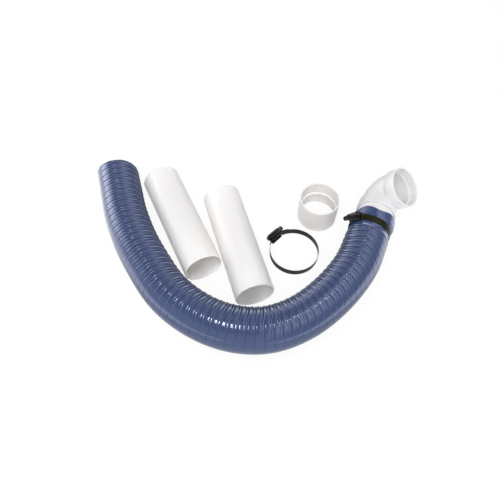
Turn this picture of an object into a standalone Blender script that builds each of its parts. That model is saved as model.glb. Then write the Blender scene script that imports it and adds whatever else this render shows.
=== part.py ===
"""A sewer hose kit laid out on a floor.

A ribbed hose lies in a U. One end is open. The other end is pushed over a short pipe stub, held by
a worm-drive clamp, and the stub carries a ninety degree elbow. Inside the U lie two cut pipes, a
coupling that stands on end and a second, loose clamp.

Metres, +Z up. The floor is Z = 0, X runs to the right and Y away from the viewer. The origin is the
middle of the whole layout on the floor.
"""
import math

import bmesh
import bpy
from mathutils import Matrix, Vector

# ---- Pipe: three inch sewer and drain size -------------------------------------------------------
PIPE_OD = 0.08255
PIPE_WALL = 0.0024
PIPE_LENGTH = 0.262
PIPE_CHAMFER = 0.0006
SOCKET_SLIP = 0.0003        # radial gap of a pipe in a socket or in the hose
END_GAP = 0.0003            # gap between two faces that touch
FITTING_WALL = 0.0029       # wall of a socket
STOP_HEIGHT = 0.0033        # how far a stop stands in from the socket's wall
RIM_ROUND = 0.0008          # rounding of the fittings' rims

# ---- Coupling ------------------------------------------------------------------------------------
COUPLING_LENGTH = 0.0656
STOP_WIDTH = 0.0045

# ---- Elbow ---------------------------------------------------------------------------------------
ELBOW_BEND_SHARE = 0.412    # radius of the bend's centre line, over the pipe's outside diameter
ELBOW_STRAIGHT = 0.028      # from the end of the bend to each mouth
ELBOW_SOCKET_DEPTH = 0.020
ELBOW_HUB_LENGTH = 0.024    # outside, from the mouth to the shoulder
ELBOW_SHOULDER = 0.0034     # how far the hub stands out from the bend
ELBOW_TILT = math.radians(50.0)     # of the upper mouth, above the floor

# ---- Hose ----------------------------------------------------------------------------------------
HOSE_WALL = 0.0022
RIB_HEIGHT = 0.0028
RIB_PITCH = 0.0154
HOSE_SIDES = 16
HOSE_FLAT = 0.0005          # how deep the ribs are cut flat where they stand on the floor
HOSE_LEAD = 0.093           # straight run at each end
BORE_STEP = 0.0308          # spacing of the bore's rings
CUFF_LENGTH = 0.050         # end that sits on the stub, pressed down to its valleys
STUB_IN_HOSE = 0.047
STUB_SHOWING = 0.015        # between the hose's end and the elbow's mouth

# The route of the hose's centre line, chosen by hand, from the open end to the elbow.
OPEN_END = (-0.3231, 0.2091)
OPEN_HEADING = math.radians(-73.0)
HOSE_ROUTE = (
    (-0.2632, 0.0403),
    (-0.2235, -0.0284),
    (-0.1735, -0.0964),
    (-0.1110, -0.1443),
    (-0.0417, -0.1708),
    (0.0298, -0.1719),
    (0.0974, -0.1443),
    (0.1567, -0.0961),
    (0.2045, -0.0379),
)
ELBOW_END = (0.2655, 0.0986)
ELBOW_HEADING = math.radians(68.3)

# ---- Clamps --------------------------------------------------------------------------------------
BAND_WIDTH = 0.0159
BAND_THICKNESS = 0.0008
LAYER_GAP = 0.0003          # between band, housing, screw and hose
LOOSE_BAND_DIAMETER = 0.1070    # inside
BAND_RAMP = math.radians(26.0)      # turn over which the band climbs onto its own start
FIXED_END = math.radians(11.0)      # how far the band's first end reaches past the housing's middle
FITTED_TAIL = math.radians(62.0)    # free end past the housing's middle
LOOSE_TAIL = math.radians(36.0)
BAND_STEPS = 72             # segments in a full turn of the band
HOUSING_LENGTH = 0.029
HOUSING_SHEET = 0.0011
SCREW_RADIUS = 0.0057
SCREW_TIP = 0.0040          # tip that stands out of the housing
COLLAR_RADIUS = 0.0070
COLLAR_LENGTH = 0.0015
HEAD_FLATS = 0.0095         # across the flats
HEAD_LENGTH = 0.0110
HEAD_SLOT_WIDTH = 0.0012
HEAD_SLOT_DEPTH = 0.0020
CLAMP_FROM_END = 0.0335     # middle of the fitted band, from the hose's end
FITTED_TURN = math.radians(142.0)   # housing of the fitted clamp, up from the hose's right side
LOOSE_TURN = math.radians(137.0)    # housing of the loose clamp, round from +X

# ---- Layout of the loose pieces on the floor -----------------------------------------------------
PIPE_A_NEAR = (-0.1052, -0.0359)
PIPE_A_HEADING = math.radians(116.4)
PIPE_B_HEADING = math.radians(108.4)
PIPE_B_AHEAD = 0.0968       # how far pipe B's near end lies ahead of the corner of pipe A's
PIPES_APART = 0.0032        # from that corner to pipe B's side
COUPLING_PLACE = (0.1449, 0.1377)
LOOSE_CLAMP_PLACE = (0.0896, 0.0318)

ROUND_SIDES = 48            # facets round the rigid pieces
ELBOW_COLUMNS = 40
BEND_STEPS = 8
SMOOTH_LIMIT = math.radians(35.0)   # edges sharper than this stay sharp

# ---- Worked out from the sizes above -------------------------------------------------------------
PIPE_RADIUS = PIPE_OD / 2
PIPE_BORE_RADIUS = PIPE_RADIUS - PIPE_WALL
SOCKET_RADIUS = PIPE_RADIUS + SOCKET_SLIP
FITTING_RADIUS = SOCKET_RADIUS + FITTING_WALL
STOP_RADIUS = SOCKET_RADIUS - STOP_HEIGHT
ELBOW_BEND_RADIUS = ELBOW_BEND_SHARE * PIPE_OD
ELBOW_LEG = ELBOW_BEND_RADIUS + ELBOW_STRAIGHT      # from where the two axes meet to each mouth
SIDE_STRETCH = 1 / math.cos(math.pi / HOSE_SIDES)   # corner radius over flat radius
HOSE_BORE_RADIUS = SOCKET_RADIUS * SIDE_STRETCH
VALLEY_RADIUS = HOSE_BORE_RADIUS + HOSE_WALL
CREST_RADIUS = VALLEY_RADIUS + RIB_HEIGHT
HOSE_AXIS_HEIGHT = CREST_RADIUS - HOSE_FLAT
FITTED_BAND_RADIUS = VALLEY_RADIUS + LAYER_GAP
LOOSE_BAND_RADIUS = LOOSE_BAND_DIAMETER / 2
HOUSING_FLOOR = BAND_THICKNESS + LAYER_GAP          # heights above the band's inner radius
TAIL_FLOOR = HOUSING_FLOOR + HOUSING_SHEET + LAYER_GAP
TAIL_TOP = TAIL_FLOOR + BAND_THICKNESS
SCREW_HEIGHT = TAIL_TOP + LAYER_GAP + SCREW_RADIUS
CHANNEL_HALF = BAND_WIDTH / 2 + LAYER_GAP
HOUSING_HALF = CHANNEL_HALF + HOUSING_SHEET


# ---- Small helpers -------------------------------------------------------------------------------
def clear_scene():
    for obj in list(bpy.data.objects):
        bpy.data.objects.remove(obj, do_unlink=True)


def make_material(name, colour, roughness, metallic=0.0):
    material = bpy.data.materials.new(name)
    material.use_nodes = True
    shader = material.node_tree.nodes["Principled BSDF"]
    shader.inputs["Base Color"].default_value = (*colour, 1.0)
    shader.inputs["Roughness"].default_value = roughness
    shader.inputs["Metallic"].default_value = metallic
    return material


def link(obj, parent=None):
    bpy.context.collection.objects.link(obj)
    obj.parent = parent
    return obj


def mesh_object(name, bm, material, parent=None):
    """A named object from a bmesh, with its faces turned outwards and round sides shaded smooth."""
    bmesh.ops.recalc_face_normals(bm, faces=bm.faces)
    mesh = bpy.data.meshes.new(name)
    bm.to_mesh(mesh)
    bm.free()
    mesh.materials.append(material)
    mesh.shade_smooth()
    mesh.set_sharp_from_angle(angle=SMOOTH_LIMIT)
    return link(bpy.data.objects.new(name, mesh), parent)


def frame_empty(name, origin, x_axis, z_axis, parent=None):
    """An empty whose axes carry a piece: its origin lies on the piece's own axis."""
    z_axis = Vector(z_axis).normalized()
    x_axis = Vector(x_axis).normalized()
    y_axis = z_axis.cross(x_axis)
    matrix = Matrix((x_axis, y_axis, z_axis)).transposed().to_4x4()
    matrix.translation = origin
    empty = link(bpy.data.objects.new(name, None), parent)
    empty.matrix_local = matrix
    return empty


def heading_vector(angle):
    return Vector((math.cos(angle), math.sin(angle)))


def cutter(obj):
    obj.hide_render = True
    obj.display_type = "WIRE"
    return obj


def boolean(obj, tool, operation):
    modifier = obj.modifiers.new(tool.name, "BOOLEAN")
    modifier.operation = operation
    modifier.solver = "EXACT"
    modifier.object = tool


def turned(profile, sides):
    """A closed profile of (radius, height) points turned round the Z axis."""
    bm = bmesh.new()
    verts = [bm.verts.new((radius, 0.0, height)) for radius, height in profile]
    edges = [bm.edges.new((verts[i - 1], verts[i])) for i in range(len(verts))]
    bmesh.ops.spin(bm, geom=verts + edges, cent=(0, 0, 0), axis=(0, 0, 1),
                   angle=math.tau, steps=sides, use_merge=True)
    return bm


def rod(radius, start, end, sides):
    """A plain round rod along the Z axis, from start to end."""
    bm = bmesh.new()
    bmesh.ops.create_cone(bm, cap_ends=True, segments=sides, radius1=radius, radius2=radius,
                          depth=end - start,
                          matrix=Matrix.Translation((0, 0, (start + end) / 2)))
    return bm


def block(low, high):
    bm = bmesh.new()
    bmesh.ops.create_cube(bm, size=1.0)
    size = Vector(high) - Vector(low)
    bmesh.ops.scale(bm, vec=size, verts=bm.verts)
    bmesh.ops.translate(bm, vec=(Vector(high) + Vector(low)) / 2, verts=bm.verts)
    return bm


def rings_to_shell(rings):
    """Joins a loop of closed rings, each to the next and the last to the first."""
    bm = bmesh.new()
    rows = [[bm.verts.new(point) for point in ring] for ring in rings]
    columns = len(rows[0])
    for above, below in zip(rows, rows[1:] + rows[:1]):
        for i in range(columns):
            j = (i + 1) % columns
            bm.faces.new((above[i], above[j], below[j], below[i]))
    return bm


# ---- Pipes and coupling --------------------------------------------------------------------------
def pipe_profile(length):
    cut = PIPE_CHAMFER
    outer, inner = PIPE_RADIUS, PIPE_BORE_RADIUS
    return [
        (inner + cut, 0.0), (outer - cut, 0.0), (outer, cut),
        (outer, length - cut), (outer - cut, length), (inner + cut, length),
        (inner, length - cut), (inner, cut),
    ]


def flat_down(sides):
    """Turn about a lying pipe's axis that sets one of its facets on the floor."""
    return Matrix.Rotation(math.pi / sides, 4, "Z")


def lying_pipe(name, near, heading, material):
    """A cut pipe on the floor, its axis running from its near end along the heading."""
    flat_radius = PIPE_RADIUS * math.cos(math.pi / ROUND_SIDES)
    along = heading_vector(heading).to_3d()
    place = frame_empty(name + "_axis", (near[0], near[1], flat_radius), (0, 0, 1), along)
    bm = turned(pipe_profile(PIPE_LENGTH), ROUND_SIDES)
    bm.transform(flat_down(ROUND_SIDES))
    return mesh_object(name, bm, material, place)


def pipe_b_near():
    """Pipe B lies beside the right corner of pipe A's near end and runs on ahead of it."""
    along_a, along_b = heading_vector(PIPE_A_HEADING), heading_vector(PIPE_B_HEADING)
    right_a, right_b = (Vector((along.y, -along.x)) for along in (along_a, along_b))
    corner = Vector(PIPE_A_NEAR) + right_a * PIPE_RADIUS
    return corner + right_b * (PIPE_RADIUS + PIPES_APART) - along_b * PIPE_B_AHEAD


def make_coupling(material):
    """Two sockets back to back, with a stop ring between them."""
    half = COUPLING_LENGTH / 2
    outer, inner, stop = FITTING_RADIUS, SOCKET_RADIUS, STOP_RADIUS
    stop_low, stop_high = half - STOP_WIDTH / 2, half + STOP_WIDTH / 2
    profile = [
        (inner + RIM_ROUND, 0.0), (outer - RIM_ROUND, 0.0), (outer, RIM_ROUND),
        (outer, COUPLING_LENGTH - RIM_ROUND), (outer - RIM_ROUND, COUPLING_LENGTH),
        (inner + RIM_ROUND, COUPLING_LENGTH), (inner, COUPLING_LENGTH - RIM_ROUND),
        (inner, stop_high), (stop, stop_high), (stop, stop_low), (inner, stop_low),
        (inner, RIM_ROUND),
    ]
    place = frame_empty("coupling_axis", (*COUPLING_PLACE, 0.0), (1, 0, 0), (0, 0, 1))
    return mesh_object("coupling", turned(profile, ROUND_SIDES), material, place)


# ---- Elbow ---------------------------------------------------------------------------------------
# Its own frame: the two axes meet at the origin, one leg runs along +X and the other along +Y. A
# column is one line of points from mouth to mouth, at an angle round the tube, with 0 on the inside
# of the bend. Where the two legs run into each other there, their columns meet in one crease.
def leg_point(leg, distance, radius, angle):
    inward, height = radius * math.cos(angle), radius * math.sin(angle)
    distance = max(distance, inward)
    return (distance, inward, height) if leg == "x" else (inward, distance, height)


def bend_point(turn, radius, angle):
    inward, height = radius * math.cos(angle), radius * math.sin(angle)
    reach = ELBOW_BEND_RADIUS - inward
    if reach <= 0:
        return (inward, inward, height)
    return (ELBOW_BEND_RADIUS - reach * math.sin(turn),
            ELBOW_BEND_RADIUS - reach * math.cos(turn), height)


def bend_rings(radius, hub_radius, shoulder):
    """The tube between the two shoulders: straight, round the bend and straight again."""
    angles = [math.tau * i / ELBOW_COLUMNS for i in range(ELBOW_COLUMNS)]

    def ring(point_at):
        points = []
        for angle in angles:
            crease = hub_radius * math.cos(angle)
            if crease >= shoulder:
                points.append((crease, crease, hub_radius * math.sin(angle)))
            else:
                points.append(point_at(angle))
        return points

    turns = [math.pi / 2 * i / BEND_STEPS for i in range(BEND_STEPS + 1)]
    rings = [ring(lambda angle: leg_point("x", shoulder, radius, angle))]
    for turn in turns:
        rings.append(ring(lambda angle: bend_point(turn, radius, angle)))
    rings.append(ring(lambda angle: leg_point("y", shoulder, radius, angle)))
    return rings


def leg_ring(leg, distance, radius):
    return [leg_point(leg, distance, radius, math.tau * i / ELBOW_COLUMNS)
            for i in range(ELBOW_COLUMNS)]


def make_elbow(corner, stub_axis, mouth_axis, material):
    """One shell: out over both hubs and the bend, and back through both sockets and the bore."""
    outer, socket = FITTING_RADIUS, SOCKET_RADIUS
    shoulder = ELBOW_LEG - ELBOW_HUB_LENGTH
    stop = ELBOW_LEG - ELBOW_SOCKET_DEPTH
    bend_outer = outer - ELBOW_SHOULDER
    rim = RIM_ROUND
    outside = [
        leg_ring("x", ELBOW_LEG, outer - rim), leg_ring("x", ELBOW_LEG - rim, outer),
        leg_ring("x", shoulder, outer), *bend_rings(bend_outer, outer, shoulder),
        leg_ring("y", shoulder, outer), leg_ring("y", ELBOW_LEG - rim, outer),
        leg_ring("y", ELBOW_LEG, outer - rim),
    ]
    inside = [
        leg_ring("y", ELBOW_LEG, socket + rim), leg_ring("y", ELBOW_LEG - rim, socket),
        leg_ring("y", stop, socket), *reversed(bend_rings(STOP_RADIUS, STOP_RADIUS, stop)),
        leg_ring("x", stop, socket), leg_ring("x", ELBOW_LEG - rim, socket),
        leg_ring("x", ELBOW_LEG, socket + rim),
    ]
    bm = rings_to_shell(outside + inside)
    bmesh.ops.remove_doubles(bm, verts=bm.verts, dist=0.000001)
    bmesh.ops.dissolve_degenerate(bm, edges=bm.edges, dist=0.000001)
    place = frame_empty("elbow_axis", corner, stub_axis, Vector(stub_axis).cross(mouth_axis))
    return mesh_object("elbow", bm, material, place)


# ---- Hose ----------------------------------------------------------------------------------------
def hermite(p0, p1, m0, m1, t):
    return ((2 * t ** 3 - 3 * t ** 2 + 1) * p0 + (t ** 3 - 2 * t ** 2 + t) * m0
            + (-2 * t ** 3 + 3 * t ** 2) * p1 + (t ** 3 - t ** 2) * m1)


def smooth_route():
    """A fine line of points: a straight lead, one smooth curve through the route, and a lead."""
    first, last = heading_vector(OPEN_HEADING), heading_vector(ELBOW_HEADING)
    start, end = Vector(OPEN_END), Vector(ELBOW_END)
    knots = [start + first * HOSE_LEAD, *(Vector(p) for p in HOSE_ROUTE), end - last * HOSE_LEAD]
    slopes = [(after - before) / 2 for before, after in zip(knots, knots[2:])]
    slopes.insert(0, first * (knots[1] - knots[0]).length)
    slopes.append(last * (knots[-1] - knots[-2]).length)
    fine = 40
    line = [start]
    for i in range(len(knots) - 1):
        line += [hermite(knots[i], knots[i + 1], slopes[i], slopes[i + 1], step / fine)
                 for step in range(fine)]
    return line + [knots[-1], end]


def even_points(line, count):
    """Points at count even steps along a line, both ends included."""
    lengths = [0.0]
    for before, after in zip(line, line[1:]):
        lengths.append(lengths[-1] + (after - before).length)
    points, segment = [], 0
    for i in range(count + 1):
        wanted = lengths[-1] * i / count
        while segment < len(line) - 2 and lengths[segment + 1] < wanted:
            segment += 1
        share = (wanted - lengths[segment]) / (lengths[segment + 1] - lengths[segment])
        points.append(line[segment].lerp(line[segment + 1], share))
    return points


def line_length(line):
    return sum((after - before).length for before, after in zip(line, line[1:]))


def hose_curve(name, points, radii):
    """A round tube through the points, as a curve with a bevel and closed ends."""
    curve = bpy.data.curves.new(name, "CURVE")
    curve.dimensions = "3D"
    curve.twist_mode = "Z_UP"
    curve.bevel_depth = CREST_RADIUS
    curve.bevel_resolution = HOSE_SIDES // 2 - 2
    curve.use_fill_caps = True
    spline = curve.splines.new("POLY")
    spline.points.add(len(points) - 1)
    for knot, point, radius in zip(spline.points, points, radii):
        knot.co = (point.x, point.y, HOSE_AXIS_HEIGHT, 1.0)
        knot.radius = radius / CREST_RADIUS
    return link(bpy.data.objects.new(name, curve))


def curve_to_mesh(obj, name, material=None):
    """The curve's evaluated surface as a mesh object of its own; the curve goes."""
    graph = bpy.context.evaluated_depsgraph_get()
    mesh = bpy.data.meshes.new_from_object(obj.evaluated_get(graph))
    bpy.data.objects.remove(obj, do_unlink=True)
    bm = bmesh.new()
    bm.from_mesh(mesh)
    bpy.data.meshes.remove(mesh)
    bmesh.ops.remove_doubles(bm, verts=bm.verts, dist=0.00001)
    if material is None:
        material = bpy.data.materials[0]
    return mesh_object(name, bm, material)


def make_hose(material):
    """A rib is one valley point and one crest point. The bore is a plainer tube, cut out."""
    line = smooth_route()
    length = line_length(line)
    ribs = round(length / RIB_PITCH)
    step = length / (2 * ribs)
    radii = []
    for i in range(2 * ribs + 1):
        in_cuff = length - i * step < CUFF_LENGTH
        crest = i % 2 == 1 and not in_cuff
        radii.append(CREST_RADIUS if crest else VALLEY_RADIUS)
    outer = hose_curve("hose_outer", even_points(line, 2 * ribs), radii)
    hose = curve_to_mesh(outer, "hose", material)

    bore_steps = round(length / BORE_STEP)
    inner_line = even_points(line, bore_steps)
    overrun = 0.01
    inner_line[0] = inner_line[0] - heading_vector(OPEN_HEADING) * overrun
    inner_line[-1] = inner_line[-1] + heading_vector(ELBOW_HEADING) * overrun
    inner = hose_curve("hose_inner", inner_line, [HOSE_BORE_RADIUS] * len(inner_line))
    boolean(hose, cutter(curve_to_mesh(inner, "hose_bore")), "DIFFERENCE")

    floor_cut = block((-length, -length, -CREST_RADIUS), (length, length, 0.0))
    below = mesh_object("floor_cut", floor_cut, material)
    boolean(hose, cutter(below), "DIFFERENCE")
    print(f"hose: length {length:.4f} m, {ribs} ribs, pitch {length / ribs:.5f} m, "
          f"least gap of the line to itself {least_gap(even_points(line, ribs)):.3f} m")
    return hose


def least_gap(points):
    """Least clear gap between two stretches of the hose that aren't neighbours along it."""
    apart = 12
    gaps = [(a - b).length - 2 * CREST_RADIUS
            for i, a in enumerate(points) for b in points[i + apart:]]
    return min(gaps)


# ---- Worm-drive clamp ----------------------------------------------------------------------------
# Its own frame: the band is round Z, the housing sits out along +X, and the screw lies along Y with
# its head at +Y. The band's first end lies under the housing's floor; the band goes once round,
# climbs, passes between that floor and the screw, and ends as a tail lying on its own first turn.
def band_radius(turn, radius):
    """Inner radius of the band at a turn counted from the housing's middle."""
    def eased(share):
        share = min(max(share, 0.0), 1.0)
        return share * share * (3 - 2 * share)

    half_housing = math.asin(HOUSING_LENGTH / 2 / (radius + SCREW_HEIGHT)) + math.radians(1.0)
    enter = math.tau - half_housing
    climb = eased((turn - (enter - BAND_RAMP)) / BAND_RAMP)
    lie_down = eased((turn - (math.tau + half_housing)) / BAND_RAMP)
    resting = BAND_THICKNESS + LAYER_GAP
    return radius + TAIL_FLOOR * climb - (TAIL_FLOOR - resting) * lie_down


def make_band(name, radius, tail, material, parent):
    start, stop = -FIXED_END, math.tau + tail
    steps = round(BAND_STEPS * (stop - start) / math.tau)
    half = BAND_WIDTH / 2
    bm = bmesh.new()
    rings = []
    for i in range(steps + 1):
        turn = start + (stop - start) * i / steps
        inner = band_radius(turn, radius)
        outer = inner + BAND_THICKNESS
        direction = Vector((math.cos(turn), math.sin(turn), 0.0))
        corners = ((inner, -half), (outer, -half), (outer, half), (inner, half))
        rings.append([bm.verts.new(direction * r + Vector((0, 0, z))) for r, z in corners])
    for before, after in zip(rings, rings[1:]):
        for i in range(4):
            j = (i + 1) % 4
            bm.faces.new((before[i], before[j], after[j], after[i]))
    bm.faces.new(rings[0])
    bm.faces.new(reversed(rings[-1]))
    return mesh_object(name, bm, material, parent)


def housing_outline(radius):
    """The housing's end view: legs down past the band, shoulders, and an arch over the screw."""
    centre = radius + SCREW_HEIGHT
    arch = SCREW_RADIUS + LAYER_GAP + HOUSING_SHEET
    shoulder = radius + TAIL_TOP + LAYER_GAP + HOUSING_SHEET
    foot = radius - HOUSING_LENGTH ** 2 / (4 * radius)
    points = [(foot, HOUSING_HALF), (shoulder, HOUSING_HALF), (shoulder, arch)]
    steps = 10
    points += [(centre + arch * math.sin(math.pi * i / steps), arch * math.cos(math.pi * i / steps))
               for i in range(steps + 1)]
    points += [(shoulder, -arch), (shoulder, -HOUSING_HALF), (foot, -HOUSING_HALF)]
    return points


def make_housing(name, radius, material, parent):
    half = HOUSING_LENGTH / 2
    bm = bmesh.new()
    face = bm.faces.new([bm.verts.new((x, -half, z)) for x, z in housing_outline(radius)])
    moved = bmesh.ops.extrude_face_region(bm, geom=[face])["geom"]
    bmesh.ops.translate(bm, vec=(0, HOUSING_LENGTH, 0),
                        verts=[item for item in moved if isinstance(item, bmesh.types.BMVert)])
    housing = mesh_object(name, bm, material, parent)

    reach = radius * 0.5
    seat = rod(radius + HOUSING_FLOOR, -BAND_WIDTH, BAND_WIDTH, 2 * ROUND_SIDES)
    boolean(housing, cutter(mesh_object(name + "_seat", seat, material, parent)), "DIFFERENCE")

    floor, roof = radius + TAIL_FLOOR - LAYER_GAP, radius + TAIL_TOP + LAYER_GAP
    channel = turned([(floor, -CHANNEL_HALF), (roof, -CHANNEL_HALF),
                      (roof, CHANNEL_HALF), (floor, CHANNEL_HALF)], 2 * ROUND_SIDES)
    boolean(housing, cutter(mesh_object(name + "_channel", channel, material, parent)),
            "DIFFERENCE")

    hole = rod(SCREW_RADIUS + LAYER_GAP, -reach, reach, 24)
    hole.transform(Matrix.Translation((radius + SCREW_HEIGHT, 0, 0))
                   @ Matrix.Rotation(math.pi / 2, 4, "X"))
    boolean(housing, cutter(mesh_object(name + "_hole", hole, material, parent)), "DIFFERENCE")
    return housing


def make_screw(name, radius, material, parent):
    """Worm, collar and slotted hexagon head in one, turned round the screw's own axis."""
    half = HOUSING_LENGTH / 2
    axis = frame_empty(name + "_axis", (radius + SCREW_HEIGHT, 0, 0), (1, 0, 0), (0, 1, 0), parent)
    tip = -half - SCREW_TIP
    collar = half + LAYER_GAP
    head = collar + COLLAR_LENGTH
    taper = SCREW_RADIUS * 0.3
    worm = turned([(0.0, tip), (SCREW_RADIUS - taper, tip), (SCREW_RADIUS, tip + taper),
                   (SCREW_RADIUS, collar), (COLLAR_RADIUS, collar), (COLLAR_RADIUS, head),
                   (0.0, head)], 24)
    bmesh.ops.remove_doubles(worm, verts=worm.verts, dist=0.000001)
    screw = mesh_object(name, worm, material, axis)

    sink = COLLAR_LENGTH / 2
    corner = HEAD_FLATS / 2 / math.cos(math.pi / 6)
    hexagon = rod(corner, head - sink, head + HEAD_LENGTH, 6)
    boolean(screw, cutter(mesh_object(name + "_head", hexagon, material, axis)), "UNION")

    top = head + HEAD_LENGTH
    slot = block((-HEAD_SLOT_WIDTH / 2, -HEAD_FLATS, top - HEAD_SLOT_DEPTH),
                 (HEAD_SLOT_WIDTH / 2, HEAD_FLATS, top + HEAD_SLOT_DEPTH))
    boolean(screw, cutter(mesh_object(name + "_slot", slot, material, axis)), "DIFFERENCE")
    return screw


def make_clamp(name, radius, tail, place, materials):
    make_band(name + "_band", radius, tail, materials["band"], place)
    make_housing(name + "_housing", radius, materials["housing"], place)
    make_screw(name + "_screw", radius, materials["screw"], place)


# ---- The kit -------------------------------------------------------------------------------------
def main():
    clear_scene()
    white = make_material("white_pvc", (0.86, 0.86, 0.84), 0.38)
    fitting = make_material("fitting_pvc", (0.80, 0.80, 0.79), 0.34)
    grey = make_material("coupling_pvc", (0.66, 0.65, 0.62), 0.42)
    blue = make_material("hose_vinyl", (0.10, 0.14, 0.26), 0.30)
    clamp_materials = {
        "band": make_material("band_steel", (0.10, 0.10, 0.06), 0.40, 0.8),
        "housing": make_material("housing_steel", (0.05, 0.05, 0.05), 0.40, 0.8),
        "screw": make_material("screw_steel", (0.16, 0.16, 0.15), 0.35, 0.9),
    }

    make_hose(blue)

    along = heading_vector(ELBOW_HEADING).to_3d()
    right = Vector((along.y, -along.x, 0.0))
    up = Vector((0, 0, 1))
    hose_end = Vector((*ELBOW_END, HOSE_AXIS_HEIGHT))
    mouth = hose_end + along * STUB_SHOWING
    corner = mouth + along * ELBOW_LEG

    stub_length = STUB_IN_HOSE + STUB_SHOWING + ELBOW_SOCKET_DEPTH - END_GAP
    stub_place = frame_empty("pipe_stub_axis", hose_end - along * STUB_IN_HOSE, up, along)
    mesh_object("pipe_stub", turned(pipe_profile(stub_length), ROUND_SIDES), white, stub_place)

    mouth_axis = right * math.cos(ELBOW_TILT) + up * math.sin(ELBOW_TILT)
    make_elbow(corner, -along, mouth_axis, fitting)

    outward = right * math.cos(FITTED_TURN) + up * math.sin(FITTED_TURN)
    fitted = frame_empty("hose_clamp_axis", hose_end - along * CLAMP_FROM_END, outward, -along)
    make_clamp("hose_clamp", FITTED_BAND_RADIUS, FITTED_TAIL, fitted, clamp_materials)

    loose_x = heading_vector(LOOSE_TURN).to_3d()
    loose = frame_empty("loose_clamp_axis", (*LOOSE_CLAMP_PLACE, HOUSING_HALF), loose_x, -up)
    make_clamp("loose_clamp", LOOSE_BAND_RADIUS, LOOSE_TAIL, loose, clamp_materials)

    lying_pipe("pipe_a", PIPE_A_NEAR, PIPE_A_HEADING, white)
    lying_pipe("pipe_b", pipe_b_near(), PIPE_B_HEADING, white)
    make_coupling(grey)


main()
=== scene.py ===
"""Looks of the sewer hose kit: fine pieces, finishes, floor, light and camera round the CAD frame."""
import math

import bmesh
import bpy
import numpy as np
from mathutils import Matrix, Vector


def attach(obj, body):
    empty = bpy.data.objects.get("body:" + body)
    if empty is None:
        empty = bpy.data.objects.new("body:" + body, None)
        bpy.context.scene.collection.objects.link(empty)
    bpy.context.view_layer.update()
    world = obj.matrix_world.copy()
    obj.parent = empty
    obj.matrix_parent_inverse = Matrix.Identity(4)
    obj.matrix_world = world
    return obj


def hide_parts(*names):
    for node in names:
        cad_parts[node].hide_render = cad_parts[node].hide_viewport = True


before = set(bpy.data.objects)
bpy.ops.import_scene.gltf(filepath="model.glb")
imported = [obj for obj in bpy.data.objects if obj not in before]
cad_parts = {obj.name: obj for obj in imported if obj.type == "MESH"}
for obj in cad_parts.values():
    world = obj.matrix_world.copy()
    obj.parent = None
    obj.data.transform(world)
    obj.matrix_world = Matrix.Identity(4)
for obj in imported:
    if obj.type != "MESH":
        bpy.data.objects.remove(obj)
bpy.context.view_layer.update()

# ---- Sizes of the frame, in metres ---------------------------------------------------------------
PIPE_RADIUS = 0.041275
PIPE_WALL = 0.0024
PIPE_LENGTH = 0.262
PIPE_A_NEAR = (-0.1052, -0.0359)    # middle of the end nearer to the camera
PIPE_A_HEADING = math.radians(116.4)
PIPE_B_NEAR = (0.0045, -0.0954)
PIPE_B_HEADING = math.radians(108.4)
SOCKET_RADIUS = 0.041575
FITTING_RADIUS = 0.044475
STOP_RADIUS = 0.038275
STOP_WIDTH = 0.0045
COUPLING_LENGTH = 0.0656
COUPLING_PLACE = (0.1449, 0.1377)
ELBOW_LEG = 0.062
ELBOW_SOCKET_DEPTH = 0.020
ELBOW_HUB_LENGTH = 0.024
ELBOW_SHOULDER = 0.0034
ELBOW_BEND_RADIUS = 0.034
ELBOW_TILT = math.radians(50.0)
STUB_IN_HOSE = 0.047
STUB_SHOWING = 0.015
STUB_GAP = 0.0003               # between the stub and the elbow's stop

HOSE_AXIS_HEIGHT = 0.04689
RIBS = 61
OPEN_END = (-0.3231, 0.2091)
OPEN_HEADING = math.radians(-73.0)
HOSE_ROUTE = (
    (-0.2632, 0.0403), (-0.2235, -0.0284), (-0.1735, -0.0964), (-0.1110, -0.1443),
    (-0.0417, -0.1708), (0.0298, -0.1719), (0.0974, -0.1443), (0.1567, -0.0961),
    (0.2045, -0.0379),
)
ELBOW_END = (0.2655, 0.0986)
ELBOW_HEADING = math.radians(68.3)
HOSE_LEAD = 0.093

BAND_WIDTH = 0.0159
BAND_THICKNESS = 0.0008
LAYER_GAP = 0.0003
FITTED_RADIUS = 0.04489
LOOSE_RADIUS = 0.0535
LOOSE_PLACE = (0.0896, 0.0318)
HOUSING_LENGTH = 0.029
HOUSING_SHEET = 0.0011
SCREW_RADIUS = 0.0057
HEAD_FLATS = 0.0095
HEAD_LENGTH = 0.0110
COLLAR_RADIUS = 0.0070
COLLAR_LENGTH = 0.0015
SCREW_TIP = 0.0040
HOUSING_FLOOR = BAND_THICKNESS + LAYER_GAP
TAIL_FLOOR = HOUSING_FLOOR + HOUSING_SHEET + LAYER_GAP
TAIL_TOP = TAIL_FLOOR + BAND_THICKNESS
SCREW_HEIGHT = TAIL_TOP + LAYER_GAP + SCREW_RADIUS
HOUSING_HALF = BAND_WIDTH / 2 + LAYER_GAP + HOUSING_SHEET
CLAMP_FROM_END = 0.0335
FITTED_TURN = math.radians(142.0)
LOOSE_TURN = math.radians(137.0)
FITTED_TAIL = math.radians(62.0)
LOOSE_TAIL = math.radians(36.0)

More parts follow.
